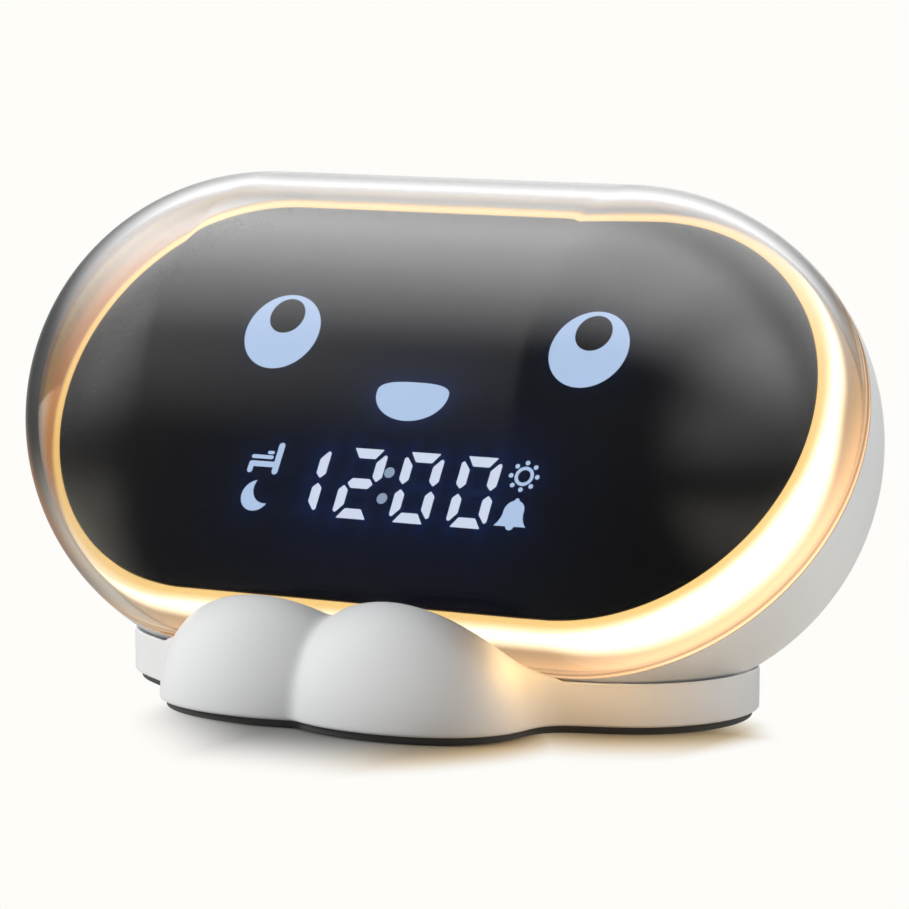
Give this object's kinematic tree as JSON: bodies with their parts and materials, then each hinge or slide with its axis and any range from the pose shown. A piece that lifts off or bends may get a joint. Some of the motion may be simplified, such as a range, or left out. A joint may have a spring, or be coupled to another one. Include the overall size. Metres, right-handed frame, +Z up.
{
  "type": "alarm clock",
  "caption": "Pill-shaped bedside clock: clear domed front over a black face with eyes, mouth and digits, glowing ring, white back with push buttons, base with paws.",
  "frame": {"origin": "middle of the base's oval disc, on the underside of the rubber sole", "axes": "+X along the clock's length to the right of the face, -Y towards the viewer the face looks at, +Z up"},
  "size_m": [0.16, 0.0927, 0.091],
  "materials": {
    "clear_cover": "clear, polished",
    "shell_white": "satin white",
    "panel_black": "glossy black",
    "lens_blue": "milky, lit from behind",
    "lens_digit": "milky, lit from behind",
    "reflector_white": "white",
    "circuit_board": "green solder mask",
    "lamp_chip": "lamp chips",
    "ring_milky": "milky, glows warm",
    "frame_grey": "moulded",
    "screw_steel": "zinc plated",
    "port_steel": "plated",
    "connector_ivory": "moulded",
    "chip_black": "moulded",
    "button_white": "satin",
    "speaker_black": "pressed frame and cone",
    "foam_black": "foam",
    "cell_wrap": "shrink sleeve",
    "sole_rubber": "matt"
  },
  "bodies": {
    "clock": {"front_cover": "clear_cover", "rear_housing": "shell_white", "face_panel": "panel_black", "left_eye": "lens_blue", "right_eye": "lens_blue", "dark_caps": "panel_black", "mouth": "lens_blue", "digit_1": "lens_digit", "digit_2": "lens_digit", "digit_3": "lens_digit", "digit_4": "lens_digit", "colon_dots": "lens_blue", "bed_icon": "lens_blue", "moon_icon": "lens_blue", "sun_icon": "lens_blue", "bell_icon": "lens_blue", "reflector": "reflector_white", "display_board": "circuit_board", "display_leds": "lamp_chip", "display_screws": "screw_steel", "display_connector": "connector_ivory", "chassis": "frame_grey", "chassis_screws": "screw_steel", "light_ring": "ring_milky", "ring_board": "circuit_board", "ring_leds": "lamp_chip", "control_board": "circuit_board", "control_chips": "chip_black", "key_switches": "chip_black", "control_screws": "screw_steel", "charging_port": "port_steel", "speaker": "speaker_black", "speaker_gasket": "foam_black", "ribbon_cable": "connector_ivory", "battery": "cell_wrap", "battery_holder": "chip_black", "base_shell": "shell_white", "rubber_sole": "sole_rubber", "base_screws": "screw_steel"},
    "set_button": {"set_button": "button_white"},
    "alarm_button": {"alarm_button": "button_white"},
    "light_button": {"light_button": "button_white"},
    "up_button": {"up_button": "button_white"},
    "down_button": {"down_button": "button_white"}
  },
  "joints": [
    {"name": "set_button_press", "type": "slide", "parent": "clock", "child": "set_button", "axis": [0, -0.9511, -0.309], "range_m": [0, 0.0006], "stiffness_N_per_m": 2500},
    {"name": "alarm_button_press", "type": "slide", "parent": "clock", "child": "alarm_button", "axis": [0, -0.9511, -0.309], "range_m": [0, 0.0006], "stiffness_N_per_m": 2500},
    {"name": "light_button_press", "type": "slide", "parent": "clock", "child": "light_button", "axis": [0, -0.9511, -0.309], "range_m": [0, 0.0006], "stiffness_N_per_m": 2500},
    {"name": "up_button_press", "type": "slide", "parent": "clock", "child": "up_button", "axis": [0, -0.9511, -0.309], "range_m": [0, 0.0006], "stiffness_N_per_m": 2500},
    {"name": "down_button_press", "type": "slide", "parent": "clock", "child": "down_button", "axis": [0, -0.9511, -0.309], "range_m": [0, 0.0006], "stiffness_N_per_m": 2500}
  ]
}
